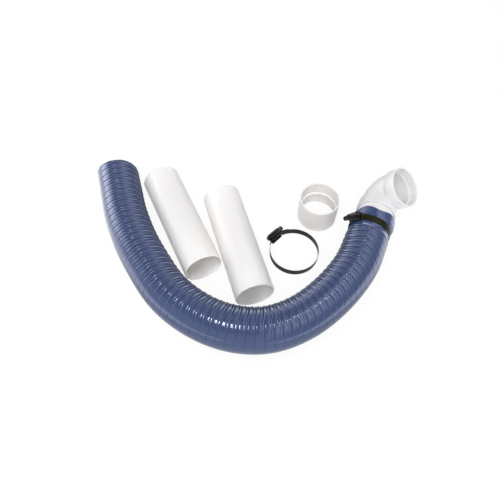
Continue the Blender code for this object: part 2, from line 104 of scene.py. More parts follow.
# ---- Sizes of the details that only show here ----------------------------------------------------
HOSE_RADIUS = 0.0468            # over the ribs
HOSE_BORE = 0.0419
HOSE_SIDES = 96
LEAD_STEPS, CURVE_STEPS = 20, 40             # steps of its line in a lead and between two knots
HEADING_STEP = 0.004            # half the stretch of line that a heading is taken over
RIB_INSIDE, RIB_OUTSIDE = 0.0040, 0.0004     # groove depth on the inner and outer side of the U
RIB_FALL = 1.5                  # power by which the depth falls from the inner to the outer side
RIB_FLATNESS = 1.6              # how much flatter the bulges are on the outer side
RIB_FADING = 0.2                # share of a turn over which the second groove fades there
RIB_FADED = 0.85                # share of that groove's depth that is gone there
RIB_BULGES = (                  # start and end along a turn, steps, height, fullness
    (0.0, 0.62, 9, 1.0, 2.3),
    (0.62, 1.0, 6, 0.80, 2.4),
)
RIB_ROUNDNESS = 0.7             # power that rounds a bulge's top
GROOVE_SHADE = "groove"               # the attribute that carries the grooves' painted shade, and their dullness
OUTER_GROOVE_SHADE = 0.65             # how strong the grooves' painted shade is on the outer side, against 1 on the inner
INNER_RIB = 0.0006
INNER_ROWS = 6                  # rows of the bore for each rib
OPEN_SKEW, OPEN_SKEW_REACH = 0.0025, 0.05    # how far the open end slants, and over what length
CUT_WAVE, CUT_WAVES = 0.0027, 5              # height and count of the hand-cut end's waves
CUT_WAVE_TURN = math.radians(117.0)
CUT_WAVE_REACH = 0.018
CUT_BACK, CUT_SLOW = 0.75, 0.25              # shares of it: how far the end lies back, a slower wave
END_ROUND = 0.0006
CUFF_LENGTH = 0.050
CUFF_RADIUS = 0.0446
CUFF_BORE = 0.0416
CUFF_BEFORE, CUFF_AFTER = 0.006, 0.004       # the ribs fade from before the cuff to inside it
CUFF_BORE_STEP = 0.01           # length over which the bore narrows before the cuff
CUFF_SWELL = 0.0004             # the cuff widens past the clamp, most on one side
CUFF_FLARE = 0.0032
CUFF_FLARE_TURN = math.radians(15.0)
CUFF_FLARE_START, CUFF_FLARE_FULL = 0.008, 0.015     # distances past the clamp's middle

PIPE_EDGE, PIPE_SIDES = 0.0007, 128
COUPLING_EDGE, COUPLING_SIDES = 0.0010, 144
ELBOW_RIM, ELBOW_SIDES = 0.0009, 120
ELBOW_BEND_STEPS = 24
SHOULDER_START, SHOULDER_RUN, SHOULDER_STEPS = 0.0016, 0.0036, 8     # the step down from the hub

BAND_START = -math.radians(11.0)     # turns are counted from the middle of the housing
BAND_RAMP = math.radians(26.0)  # turn over which the band climbs and comes down again
BAND_RAMP_GAP = math.radians(1.0)    # turn between a ramp and the housing
BAND_EDGE = 0.00012             # bevel of its edges
BAND_FLAT = 0.46                # half the share of its width that the bevels leave flat
THREAD_PITCH, THREAD_DEPTH = 0.0026, 0.0010
THREAD_FULLNESS = 1.5           # power that makes the crests wider than the grooves
SLOT_SLANT = 0.09               # along the band for each length across it
SLOT_HALF = 0.30                # half the slots' share of the band's width
SLOT_LENGTH = 0.40              # their share of the pitch
SLOT_FLOOR = 0.4                # share of the band left under them
SLOTS_FROM = math.radians(225.0)     # the turn where they start
SLOTS_END = 0.09                # turn left without them at the end, in radians
HOUSING_BEND, HOUSING_EDGE = 0.0012, 0.0003
ARCH_STEPS, SADDLE_STEPS = 20, 24
ARCH_NARROWING = 0.0022         # how much shorter the arch is at each end than the feet
SCREW_SIDES, SCREW_ROWS = 48, 120
SCREW_NECK, THREAD_RUNOUT = 0.0010, 0.0002   # plain length under the collar, and the thread's end
TIP_FACE, TIP_START, TIP_LENGTH = 0.55, 0.62, 0.0016     # shares of the radius, and the taper
COLLAR_EDGE = 0.0005
HEAD_CORNERS = 1.13             # size over the chamfered corners, against the flats
HEAD_CHAMFER_START = 0.0009     # below the top
HEAD_CHAMFERS = ((0.0003, 1.03), (0.0, 0.93))        # distance below the top, size against flats
DRIVER_SLOT = (0.0043, 0.0020)  # half length and depth of the slot in the screw head

SHARP = math.radians(38.0)
MERGE = 0.000002                # points nearer than this become one
TINY = 1e-9
CORNER_SHARE = 0.45             # the most of a side that a rounded corner takes


# ---- Meshes --------------------------------------------------------------------------------------
def add_piece(name, points, faces, material, body, nodes, depth=None):
    """A piece that stands for CAD nodes and moves with their body; depth, if given, is the painted
    shade of its grooves, stored on its points.
    """
    mesh = bpy.data.meshes.new(name)
    mesh.from_pydata([tuple(p) for p in points], [], faces)
    if depth is not None:
        mesh.attributes.new(GROOVE_SHADE, "FLOAT", "POINT").data.foreach_set("value", depth)
    bm = bmesh.new()
    bm.from_mesh(mesh)
    bmesh.ops.remove_doubles(bm, verts=bm.verts, dist=MERGE)
    bmesh.ops.dissolve_degenerate(bm, edges=bm.edges, dist=MERGE)
    bmesh.ops.recalc_face_normals(bm, faces=bm.faces)
    bm.to_mesh(mesh)
    bm.free()
    mesh.materials.append(material)
    mesh.shade_smooth()
    mesh.set_sharp_from_angle(angle=SHARP)
    obj = bpy.data.objects.new(name, mesh)
    bpy.context.scene.collection.objects.link(obj)
    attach(obj, body)
    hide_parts(*nodes)
    return obj


def shell(rows, loop=True, caps=False):
    """Points and faces of a stack of closed rings; loop joins the last ring to the first."""
    rows = np.asarray(rows, float)
    count, columns = rows.shape[:2]
    index = np.arange(count * columns).reshape(count, columns)
    after = np.roll(index, -1, axis=0) if loop else index[1:]
    before = index if loop else index[:-1]
    quads = np.stack([before, np.roll(before, -1, 1), np.roll(after, -1, 1), after], -1)
    faces = quads.reshape(-1, 4).tolist()
    if caps:
        faces += [index[0][::-1].tolist(), index[-1].tolist()]
    return rows.reshape(-1, 3), faces


def placed(points, origin, x_axis, z_axis):
    """Points moved from their own axes to an origin with the given x and z axes."""
    x_axis, z_axis = Vector(x_axis).normalized(), Vector(z_axis).normalized()
    turn = np.array([x_axis, z_axis.cross(x_axis), z_axis])
    return np.asarray(points) @ turn + np.array(origin)


def rounded(corners, radius, steps=4):
    """A closed outline with its corners rounded."""
    out = []
    count = len(corners)
    for i, corner in enumerate(corners):
        here = np.array(corner, float)
        back = np.array(corners[i - 1], float) - here
        ahead = np.array(corners[(i + 1) % count], float) - here
        reach = min(radius, np.hypot(*back) * CORNER_SHARE, np.hypot(*ahead) * CORNER_SHARE)
        start = here + back / np.hypot(*back) * reach
        end = here + ahead / np.hypot(*ahead) * reach
        for k in range(steps + 1):
            t = k / steps
            out.append(start * (1 - t) ** 2 + here * 2 * t * (1 - t) + end * t * t)
    return out


def quarter(steps=4):
    """Angles of a quarter turn."""
    return [math.pi / 2 * k / steps for k in range(steps + 1)]


def eased(share):
    """A share from 0 to 1 that starts and ends softly."""
    t = np.clip(share, 0, 1)
    return t * t * (3 - 2 * t)


def smooth_step(value, low, high):
    """0 up to low, 1 from high on, and a soft rise between."""
    return eased((value - low) / (high - low))


def turned(profile, sides):
    """Rings of a closed (radius, height) outline turned round Z."""
    angles = np.linspace(0, math.tau, sides, endpoint=False)
    return [[(r * math.cos(a), r * math.sin(a), h) for a in angles] for r, h in profile]


# ---- Finishes ------------------------------------------------------------------------------------
SUBSURFACE_DEPTH = 0.012
SUBSURFACE_COLOURS = (1.0, 1.0, 0.9)
SLOW_DETAIL, GRAIN_DETAIL = 3.0, 4.0
GRAIN_FINENESS = 30             # how much finer the grain is than the slow changes
GRAIN_HEIGHT = 0.0003
GROOVE_DULLNESS = 0.3           # how much rougher a groove is


def finish(name, colour, tint, roughness, spread, scale, bump, metallic=0.0, specular=0.5,
           shine=(1, 1, 1), inside=0.0, groove_shade=None):
    """A procedural material: slow changes of colour and gloss, and a fine grain; given a groove
    colour, painted shade that darkens the grooves, which are also made duller.
    """
    material = bpy.data.materials.new(name)
    material.use_nodes = True
    nodes, links = material.node_tree.nodes, material.node_tree.links
    shader = nodes["Principled BSDF"]
    shader.inputs["Metallic"].default_value = metallic
    shader.inputs["Specular IOR Level"].default_value = specular
    shader.inputs["Specular Tint"].default_value = (*shine, 1.0)
    shader.inputs["Subsurface Weight"].default_value = inside
    shader.inputs["Subsurface Radius"].default_value = SUBSURFACE_COLOURS
    shader.inputs["Subsurface Scale"].default_value = SUBSURFACE_DEPTH
    where = nodes.new("ShaderNodeTexCoord")

    slow = nodes.new("ShaderNodeTexNoise")
    slow.inputs["Scale"].default_value = scale
    slow.inputs["Detail"].default_value = SLOW_DETAIL
    links.new(where.outputs["Object"], slow.inputs["Vector"])
    mix = nodes.new("ShaderNodeMix")
    mix.data_type = "RGBA"
    mix.inputs["A"].default_value = (*colour, 1.0)
    mix.inputs["B"].default_value = (*tint, 1.0)
    links.new(slow.outputs["Fac"], mix.inputs["Factor"])
    colour_out = mix.outputs["Result"]
    # Painted shade: the colour turns towards the given dark colour in the grooves.
    if groove_shade:
        groove = nodes.new("ShaderNodeAttribute")
        groove.attribute_name = GROOVE_SHADE
        paint_shade = nodes.new("ShaderNodeMix")
        paint_shade.data_type = "RGBA"
        paint_shade.inputs["B"].default_value = (*groove_shade, 1.0)
        links.new(groove.outputs["Fac"], paint_shade.inputs["Factor"])
        links.new(colour_out, paint_shade.inputs["A"])
        colour_out = paint_shade.outputs["Result"]
    links.new(colour_out, shader.inputs["Base Color"])

    gloss = nodes.new("ShaderNodeMapRange")
    gloss.inputs["To Min"].default_value = roughness - spread
    gloss.inputs["To Max"].default_value = roughness + spread
    links.new(slow.outputs["Fac"], gloss.inputs["Value"])
    gloss_out = gloss.outputs["Result"]
    if groove_shade:
        dull = nodes.new("ShaderNodeMath")
        dull.operation = "MULTIPLY_ADD"
        dull.inputs[1].default_value = GROOVE_DULLNESS
        links.new(groove.outputs["Fac"], dull.inputs[0])
        links.new(gloss_out, dull.inputs[2])
        gloss_out = dull.outputs[0]
    links.new(gloss_out, shader.inputs["Roughness"])

    grain = nodes.new("ShaderNodeTexNoise")
    grain.inputs["Scale"].default_value = scale * GRAIN_FINENESS
    grain.inputs["Detail"].default_value = GRAIN_DETAIL
    links.new(where.outputs["Object"], grain.inputs["Vector"])
    relief = nodes.new("ShaderNodeBump")
    relief.inputs["Strength"].default_value = bump
    relief.inputs["Distance"].default_value = GRAIN_HEIGHT
    links.new(grain.outputs["Fac"], relief.inputs["Height"])
    links.new(relief.outputs["Normal"], shader.inputs["Normal"])
    return material


# ---- Camera --------------------------------------------------------------------------------------
PITCH, ROLL = math.radians(58.455), math.radians(1.730)     # down from level, and to one side
CAMERA_PLACE = (-0.0085, -0.5577, 0.96975)
SENSOR_WIDTH, LENS = 36.0, 36.44     # in millimetres


def make_camera():
    data = bpy.data.cameras.new("camera")
    data.sensor_width = SENSOR_WIDTH
    data.lens = LENS
    camera = bpy.data.objects.new("camera", data)
    bpy.context.scene.collection.objects.link(camera)
    right, ahead = Vector((1, 0, 0)), Vector((0, math.cos(PITCH), -math.sin(PITCH)))
    upward = Vector((0, math.sin(PITCH), math.cos(PITCH)))
    camera_right = right * math.cos(ROLL) + upward * math.sin(ROLL)
    camera_up = upward * math.cos(ROLL) - right * math.sin(ROLL)
    place = Matrix((camera_right, camera_up, -ahead)).transposed().to_4x4()
    place.translation = CAMERA_PLACE
    camera.matrix_world = place
    bpy.context.scene.camera = camera


make_camera()
bpy.context.scene.view_settings.view_transform = "Standard"


# ---- Hose ----------------------------------------------------------------------------------------
def heading_vector(angle):
    return np.array([math.cos(angle), math.sin(angle)])


def cut_end():
    """Middle of the hose's cut end, the way the hose leads there, and the way to its right."""
    along = np.array([*heading_vector(ELBOW_HEADING), 0.0])
    side = np.array([along[1], -along[0], 0.0])
    return np.array([*ELBOW_END, HOSE_AXIS_HEIGHT]), along, side


def hose_line():
    """A fine line: a straight lead, one smooth curve through the route, and a lead."""
    first, last = heading_vector(OPEN_HEADING), heading_vector(ELBOW_HEADING)
    start, end = np.array(OPEN_END), np.array(ELBOW_END)
    knots = [start + first * HOSE_LEAD, *(np.array(p) for p in HOSE_ROUTE), end - last * HOSE_LEAD]
    slopes = [(after - before) / 2 for before, after in zip(knots, knots[2:])]
    slopes.insert(0, first * np.hypot(*(knots[1] - knots[0])))
    slopes.append(last * np.hypot(*(knots[-1] - knots[-2])))
    line = [start + first * HOSE_LEAD * i / LEAD_STEPS for i in range(LEAD_STEPS)]
    for i in range(len(knots) - 1):
        for t in np.linspace(0, 1, CURVE_STEPS, endpoint=False):
            line.append((2 * t ** 3 - 3 * t ** 2 + 1) * knots[i]
                        + (t ** 3 - 2 * t ** 2 + t) * slopes[i]
                        + (-2 * t ** 3 + 3 * t ** 2) * knots[i + 1]
                        + (t ** 3 - t ** 2) * slopes[i + 1])
    line += [knots[-1] + last * HOSE_LEAD * i / LEAD_STEPS for i in range(LEAD_STEPS + 1)]
    return np.array(line)


def rib_steps():
    """Places and heights along one turn of the rib: a wide bulge and a narrow one."""
    places, heights = [], []
    for start, end, steps, top, fullness in RIB_BULGES:
        for k in range(steps):
            x = (1 - math.cos(math.pi * k / steps)) / 2
            places.append(start + (end - start) * x)
            heights.append(top * (1 - abs(2 * x - 1) ** fullness) ** RIB_ROUNDNESS)
    return np.array(places), np.array(heights)


def rib_height(turn):
    """Height of the rib from 0 in its groove to 1 on its crest, at a count of turns."""
    places, heights = rib_steps()
    return np.interp(turn % 1.0, np.append(places, 1.0), np.append(heights, heights[0]))


def cut_wave(angles):
    """How far the hand-cut end by the elbow stands out or back, in waves round the hose."""
    return (CUT_WAVE * np.cos(CUT_WAVES * (angles - CUT_WAVE_TURN)) - CUT_BACK * CUT_WAVE
            + CUT_SLOW * CUT_WAVE * np.cos(2 * angles))


def make_hose(material):
    """The hose; its rib winds round it, so the rows of the outside wind with it."""
    line = hose_line()
    reach = np.concatenate([[0], np.cumsum(np.hypot(*np.diff(line, axis=0).T))])
    length = reach[-1]
    pitch = length / RIBS
    columns = np.arange(HOSE_SIDES) / HOSE_SIDES
    angles = columns * math.tau
    inner_side = (1 - np.cos(angles)) / 2      # 1 on the inner side of the U, 0 on the outer

    def ring_points(along, radius):
        """Points round the line, each at its own distance along it."""
        near = np.clip(along, HEADING_STEP, length - HEADING_STEP)
        ahead = np.stack([np.interp(near + HEADING_STEP, reach, line[:, k])
                          - np.interp(near - HEADING_STEP, reach, line[:, k])
                          for k in (0, 1)], -1)
        ahead /= np.linalg.norm(ahead, axis=-1, keepdims=True)
        beyond = along - np.clip(along, 0, length)
        centre = np.stack([np.interp(along, reach, line[:, k]) for k in (0, 1)], -1)
        centre = centre + ahead * beyond[..., None]
        side = np.stack([ahead[..., 1], -ahead[..., 0]], -1)
        flat = centre + side * (radius * np.cos(angles))[..., None]
        height = HOSE_AXIS_HEIGHT + radius * np.sin(angles)
        return np.concatenate([flat, height[..., None]], -1)

    def spread(base):
        """Distances along, skewed at the open end and wavy at the hand-cut end."""
        skew = -OPEN_SKEW * np.cos(angles) * (1 - smooth_step(base, 0, OPEN_SKEW_REACH))
        wave = cut_wave(angles) * smooth_step(base, length - CUT_WAVE_REACH, length)
        return base + skew + wave

    def groove(base):
        """1 in a groove, 0 on a bulge; outside the U bulges flatten and one groove fades."""
        turn = base / pitch - columns
        second = abs(turn % 1.0 - RIB_BULGES[1][0]) < RIB_FADING
        depth = (1 - rib_height(turn)) ** (1 + RIB_FLATNESS * (1 - inner_side))
        return depth * (1 - RIB_FADED * second * (1 - inner_side ** RIB_FALL))

    def ribbed_share(base):
        """1 along the ribs, 0 on the plain cuff."""
        start = length - CUFF_LENGTH
        return 1 - smooth_step(base, start - CUFF_BEFORE, start + CUFF_AFTER)

    def outer_radius(base):
        depth = RIB_OUTSIDE + (RIB_INSIDE - RIB_OUTSIDE) * inner_side ** RIB_FALL
        ribbed = ribbed_share(base)
        radius = HOSE_RADIUS - depth * groove(base)
        clamp = length - CLAMP_FROM_END
        beyond = smooth_step(base, clamp + CUFF_FLARE_START, clamp + CUFF_FLARE_FULL)
        flare = CUFF_SWELL + CUFF_FLARE * (0.5 + 0.5 * np.cos(angles - CUFF_FLARE_TURN)) ** 2
        cuff = CUFF_RADIUS + flare * beyond
        at_end = (base < TINY) | (base > length - TINY)
        return radius * ribbed + cuff * (1 - ribbed) - END_ROUND * at_end

    def inner_radius(base):
        in_cuff = smooth_step(base, length - CUFF_LENGTH - CUFF_BORE_STEP, length - CUFF_LENGTH)
        bore = HOSE_BORE + INNER_RIB * rib_height(base / pitch - columns)
        return bore * (1 - in_cuff) + CUFF_BORE * in_cuff

    places = rib_steps()[0]
    rows = np.concatenate([turn - 1 + places for turn in range(RIBS + 2)])
    base = np.clip((rows[:, None] + columns) * pitch, 0, length)
    outside = ring_points(spread(base), outer_radius(base))
    # Painted shade: how much the grooves' colour is darkened, most on the inner side of the U.
    depth = groove(base) * ribbed_share(base) * (OUTER_GROOVE_SHADE + (1 - OUTER_GROOVE_SHADE) * inner_side)
    index = np.arange(outside.shape[0] * HOSE_SIDES).reshape(-1, HOSE_SIDES)
    after = np.concatenate([index[:-len(places), 1:], index[len(places):, :1]], 1)
    before = index[:-len(places)]
    quads = np.stack([before[:-1], after[:-1], after[1:], before[1:]], -1)
    faces = quads.reshape(-1, 4).tolist()

    base = np.linspace(length, 0, RIBS * INNER_ROWS + 1)[:, None] + 0 * columns
    inside = ring_points(spread(base), inner_radius(base))
    ends = ring_points(spread(base[[0, -1]]), outer_radius(base[[0, -1]]))
    more, more_faces = shell(np.concatenate([ends[:1], inside, ends[1:]]), loop=False)
    first = outside.shape[0] * HOSE_SIDES
    faces += [[i + first for i in face] for face in more_faces]
    points = np.concatenate([outside.reshape(-1, 3), more])
    depth = np.concatenate([depth.ravel(), np.zeros(len(more))])
    hose = add_piece("hose_ribbed", points, faces, material, "hose", ["hose"], depth)


# ---- Pipes, coupling and elbow -------------------------------------------------------------------
def tube_outline(inner, outer, length, edge):
    """Outline of a straight tube's wall, with rounded edges."""
    return rounded([(inner, 0), (outer, 0), (outer, length), (inner, length)], edge)


def make_pipe(name, near, heading, material, body):
    """A loose pipe that lies on the floor."""
    profile = tube_outline(PIPE_RADIUS - PIPE_WALL, PIPE_RADIUS, PIPE_LENGTH, PIPE_EDGE)
    points, faces = shell(turned(profile, PIPE_SIDES))
    along = (*heading_vector(heading), 0.0)
    points = placed(points, (*near, PIPE_RADIUS), (0, 0, 1), along)
    add_piece(name, points, faces, material, body, [body])


def make_coupling(material):
    """Two sockets with a stop ring between them, standing on end."""
    half = COUPLING_LENGTH / 2
    low, high = half - STOP_WIDTH / 2, half + STOP_WIDTH / 2
    profile = rounded([
        (SOCKET_RADIUS, 0), (FITTING_RADIUS, 0), (FITTING_RADIUS, COUPLING_LENGTH),
        (SOCKET_RADIUS, COUPLING_LENGTH), (SOCKET_RADIUS, high), (STOP_RADIUS, high),
        (STOP_RADIUS, low), (SOCKET_RADIUS, low),
    ], COUPLING_EDGE)
    points, faces = shell(turned(profile, COUPLING_SIDES))
    points = placed(points, (*COUPLING_PLACE, 0), (1, 0, 0), (0, 0, 1))
    add_piece("coupling_body", points, faces, material, "coupling", ["coupling"])


def elbow_rows():
    """Rings from mouth to mouth over the outside and back through the inside."""
    angles = np.linspace(0, math.tau, ELBOW_SIDES, endpoint=False)
    shoulder = ELBOW_LEG - ELBOW_HUB_LENGTH
    stop = ELBOW_LEG - ELBOW_SOCKET_DEPTH

    def leg_row(leg, distance, radius, hub, limit):
        """A ring round one leg; past the inner corner its points lie on the legs' crease."""
        row = []
        for angle in angles:
            crease = hub * math.cos(angle)
            inward, height = radius * math.cos(angle), radius * math.sin(angle)
            if crease >= limit and distance <= crease:
                point = (crease, crease, hub * math.sin(angle))
            else:
                far = max(distance, inward)
                point = (far, inward, height) if leg == "x" else (inward, far, height)
            row.append(point)
        return row

    def bend_row(turn, radius, hub, limit):
        """A ring at one turn of the bend between the legs."""
        row = []
        for angle in angles:
            crease = hub * math.cos(angle)
            inward, height = radius * math.cos(angle), radius * math.sin(angle)
            reach = ELBOW_BEND_RADIUS - inward
            if crease >= limit:
                row.append((crease, crease, hub * math.sin(angle)))
            elif reach <= 0:
                row.append((inward, inward, height))
            else:
                row.append((ELBOW_BEND_RADIUS - reach * math.sin(turn),
                            ELBOW_BEND_RADIUS - reach * math.cos(turn), height))
        return row

    def outer_rows(leg):
        """Outside of one leg, from its mouth to the bend."""
        outer = FITTING_RADIUS
        rows = []
        for a in quarter():
            rows.append(leg_row(leg, ELBOW_LEG - ELBOW_RIM * (1 - math.cos(a)),
                                outer - ELBOW_RIM * (1 - math.sin(a)), outer, shoulder))
        for k in range(SHOULDER_STEPS + 1):
            t = k / SHOULDER_STEPS
            rows.append(leg_row(leg, shoulder + SHOULDER_START - SHOULDER_RUN * t,
                                outer - ELBOW_SHOULDER * eased(t), outer, shoulder))
        return rows

    def socket_rows(leg):
        """Inside of one leg, from its mouth to the stop."""
        rows = []
        for a in quarter():
            rows.append(leg_row(leg, ELBOW_LEG - ELBOW_RIM * (1 - math.cos(a)),
                                SOCKET_RADIUS + ELBOW_RIM * (1 - math.sin(a)), STOP_RADIUS, stop))
        rows.append(leg_row(leg, stop, SOCKET_RADIUS, STOP_RADIUS, stop))
        rows.append(leg_row(leg, stop, STOP_RADIUS, STOP_RADIUS, stop))
        return rows

    turns = quarter(ELBOW_BEND_STEPS)
    narrow = FITTING_RADIUS - ELBOW_SHOULDER
    outside = outer_rows("x") + [bend_row(t, narrow, FITTING_RADIUS, shoulder) for t in turns]
    outside += outer_rows("y")[::-1]
    inside = socket_rows("y") + [bend_row(t, STOP_RADIUS, STOP_RADIUS, stop) for t in turns[::-1]]
    inside += socket_rows("x")[::-1]
    return outside + inside


def make_elbow(material):
    """The elbow on the stub, with its far mouth tilted up."""
    end, along, side = cut_end()
    mouth = side * math.cos(ELBOW_TILT) + np.array([0, 0, math.sin(ELBOW_TILT)])
    corner = end + along * (STUB_SHOWING + ELBOW_LEG)
    points, faces = shell(elbow_rows())
    points = placed(points, corner, -along, np.cross(-along, mouth))
    add_piece("elbow_body", points, faces, material, "elbow", ["elbow"])


def make_stub(material):
    """The short pipe that joins hose and elbow."""
    length = STUB_IN_HOSE + STUB_SHOWING + ELBOW_SOCKET_DEPTH - STUB_GAP
    profile = tube_outline(PIPE_RADIUS - PIPE_WALL, PIPE_RADIUS, length, PIPE_EDGE)
    points, faces = shell(turned(profile, PIPE_SIDES))
    end, along, _ = cut_end()
    points = placed(points, end - along * STUB_IN_HOSE, (0, 0, 1), along)
    add_piece("stub", points, faces, material, "hose", ["pipe_stub"])


# ---- Clamps --------------------------------------------------------------------------------------
def band_radius(turn, radius):
    """The band lies on its ring, climbs over its own start in the housing and lies down on it."""
    half_housing = math.asin(HOUSING_LENGTH / 2 / (radius + SCREW_HEIGHT)) + BAND_RAMP_GAP
    enter = math.tau - half_housing
    climb = eased((turn - (enter - BAND_RAMP)) / BAND_RAMP)
    lie_down = eased((turn - (math.tau + half_housing)) / BAND_RAMP)
    resting = BAND_THICKNESS + LAYER_GAP
    return radius + TAIL_FLOOR * climb - (TAIL_FLOOR - resting) * lie_down


def plate(stations, mask):
    """A sheet of inner and outer points, stations x columns x 2, pressed in from the outside
    at the cells of the mask, and walls round its edge."""
    count, columns = len(stations), len(stations[0])
    points = np.asarray(stations, float).reshape(-1, 3).tolist()

    def at(i, j, k):
        return (i * columns + j) * 2 + k

    faces = []
    for i in range(count - 1):
        for j in range(columns - 1):
            corners = ((i, j), (i + 1, j), (i + 1, j + 1), (i, j + 1))
            inner = [at(*c, 0) for c in corners]
            outer = [at(*c, 1) for c in corners]
            faces.append(inner)
            if mask[i][j]:
                first = len(points)
                for low, high in zip(inner, outer):
                    points.append([a + (b - a) * SLOT_FLOOR
                                   for a, b in zip(points[low], points[high])])
                floor = list(range(first, first + 4))
                faces.append(floor)
                for k in range(4):
                    faces.append([outer[k - 1], outer[k], floor[k], floor[k - 1]])
            else:
                faces.append(outer)
    for i in range(count - 1):
        for j in (0, columns - 1):
            faces.append([at(i, j, 0), at(i + 1, j, 0), at(i + 1, j, 1), at(i, j, 1)])
    for j in range(columns - 1):
        for i in (0, count - 1):
            faces.append([at(i, j, 0), at(i, j + 1, 0), at(i, j + 1, 1), at(i, j, 1)])
    return points, faces


def make_band(name, radius, tail, frame_axes, material, body, nodes):
    """The band, wound once and led back over its start, with slots in its far half."""
    stop = math.tau + tail
    cells = round((stop - BAND_START) * radius / THREAD_PITCH)
    shares = []
    for i in range(cells):
        shares += [i / cells, (i + SLOT_LENGTH) / cells]
    shares.append(1.0)
    across = [-0.5, -BAND_FLAT, -SLOT_HALF, SLOT_HALF, BAND_FLAT, 0.5]
    stations, mask = [], []
    for i, share in enumerate(shares):
        turn = BAND_START + (stop - BAND_START) * share
        inner = band_radius(turn, radius)
        row = []
        for a in across:
            z = a * BAND_WIDTH
            angle = turn + z * SLOT_SLANT / radius
            edge = BAND_EDGE if abs(a) == 0.5 else 0.0
            row.append([(r * math.cos(angle), r * math.sin(angle), z)
                        for r in (inner + edge, inner + BAND_THICKNESS - edge)])
        stations.append(row)
        slotted = i % 2 == 0 and SLOTS_FROM < turn < stop - SLOTS_END
        mask.append([False, False, slotted, False, False])
    points, faces = plate(stations, mask)
    points = placed(points, *frame_axes)
    add_piece(name, points, faces, material, body, nodes)


def make_housing(name, radius, frame_axes, material, body, nodes):
    """Folded sheet: a saddle under the tail, two legs, shoulders and an arch over the screw."""
    half = HOUSING_LENGTH / 2
    centre = radius + SCREW_HEIGHT
    arch = SCREW_RADIUS + LAYER_GAP + HOUSING_SHEET / 2
    wide = HOUSING_HALF - HOUSING_SHEET / 2
    ledge = radius + TAIL_TOP + LAYER_GAP + HOUSING_SHEET / 2
    foot = radius - HOUSING_LENGTH ** 2 / (4 * radius)
    bend = HOUSING_BEND
    leg = [(foot, wide)]
    leg += [(ledge - bend * (1 - math.sin(a)), wide - bend * (1 - math.cos(a))) for a in quarter()]
    leg += [(ledge + bend * (1 - math.cos(a)), arch + bend * (1 - math.sin(a))) for a in quarter()]
    over = [(centre + arch * math.sin(a), arch * math.cos(a))
            for a in np.linspace(0, math.pi, ARCH_STEPS + 1)]
    path = np.array(leg + over + [(x, -z) for x, z in leg[::-1]])
    ahead = np.gradient(path, axis=0)
    ahead /= np.linalg.norm(ahead, axis=1, keepdims=True)
    normal = np.stack([-ahead[:, 1], ahead[:, 0]], -1)
    thick = HOUSING_SHEET / 2
    rings = []
    for point, n in zip(path, normal):
        top = eased((point[0] - ledge) / (centre + arch - ledge))
        reach = half - ARCH_NARROWING * top
        section = rounded([(-reach, -thick), (reach, -thick), (reach, thick), (-reach, thick)],
                          HOUSING_EDGE, 2)
        rings.append([(point[0] + n[0] * t, y, point[1] + n[1] * t) for y, t in section])
    points, faces = shell(rings, loop=False, caps=True)
    saddle = []
    low, high = radius + HOUSING_FLOOR, radius + TAIL_FLOOR - LAYER_GAP
    reach = half / radius
    edge = HOUSING_HALF - HOUSING_SHEET
    for k in range(SADDLE_STEPS + 1):
        a = -reach + 2 * reach * k / SADDLE_STEPS
        saddle.append([(r * math.cos(a), r * math.sin(a), z)
                       for r, z in ((low, -edge), (high, -edge), (high, edge), (low, edge))])
    more, more_faces = shell(saddle, loop=False, caps=True)
    faces += [[i + len(points) for i in face] for face in more_faces]
    points = placed(np.concatenate([points, more]), *frame_axes)
    add_piece(name, points, faces, material, body, nodes)


def make_screw(name, radius, frame_axes, material, body, nodes):
    """Worm thread, collar and slotted hexagon head."""
    half = HOUSING_LENGTH / 2
    tip, collar = -half - SCREW_TIP, half + LAYER_GAP
    head = collar + COLLAR_LENGTH
    top = head + HEAD_LENGTH
    rows = []

    def add(height, size):
        rows.append([(size(a) * math.cos(a), height, size(a) * math.sin(a))
                     for a in np.linspace(0, math.tau, SCREW_SIDES, endpoint=False)])

    def worm(height):
        """The thread at one height, full from a short way past the tip."""
        end = min(1.0, (height - tip) / TIP_LENGTH)
        size = SCREW_RADIUS * (TIP_START + (1 - TIP_START) * end)

        def thread(a):
            u = (height / THREAD_PITCH - a / math.tau) % 1.0
            return size - THREAD_DEPTH * abs(2 * u - 1) ** THREAD_FULLNESS
        return thread

    def hexagon(a):
        flat = HEAD_FLATS / 2 / math.cos((a + math.pi / 6) % (math.pi / 3) - math.pi / 6)
        return min(flat, HEAD_FLATS / 2 * HEAD_CORNERS)

    def slot(a):
        half_width = DRIVER_SLOT[0] * math.tan(math.tau / SCREW_SIDES)
        return min(DRIVER_SLOT[0] / max(abs(math.cos(a)), TINY),
                   half_width / max(abs(math.sin(a)), TINY))

    add(tip, lambda a: SCREW_RADIUS * TIP_FACE)
    for k in range(1, SCREW_ROWS):
        height = tip + (collar - SCREW_NECK - THREAD_RUNOUT - tip) * k / SCREW_ROWS
        add(height, worm(height))
    add(collar - SCREW_NECK, lambda a: SCREW_RADIUS)
    for turn in quarter():
        add(collar + COLLAR_EDGE * (1 - math.cos(turn)),
            lambda a: COLLAR_RADIUS - COLLAR_EDGE * (1 - math.sin(turn)))
    for turn in quarter():
        add(head - COLLAR_EDGE * (1 - math.sin(turn)),
            lambda a: COLLAR_RADIUS - COLLAR_EDGE * (1 - math.cos(turn)))
    add(head, hexagon)
    add(top - HEAD_CHAMFER_START, hexagon)
    for below, share in HEAD_CHAMFERS:
        add(top - below, lambda a: min(hexagon(a), HEAD_FLATS / 2 * share))
    add(top, slot)
    add(top - DRIVER_SLOT[1], slot)
    points, faces = shell(rows, loop=False, caps=True)
    points = np.array(points) + np.array([radius + SCREW_HEIGHT, 0, 0])
    points = placed(points, *frame_axes)
    add_piece(name, points, faces, material, body, nodes)


def make_clamp(name, radius, tail, frame_axes, finishes, bodies):
    """Band, housing and screw; frame_axes are the ring's centre, the way to the housing and the
    ring's axis."""
    band, housing, screw = finishes
    body, screw_body = bodies
    make_band(name + "_strap", radius, tail, frame_axes, band, body, [name + "_band"])
    make_housing(name + "_case", radius, frame_axes, housing, body, [name + "_housing"])
    make_screw(name + "_worm", radius, frame_axes, screw, screw_body, [name + "_screw"])
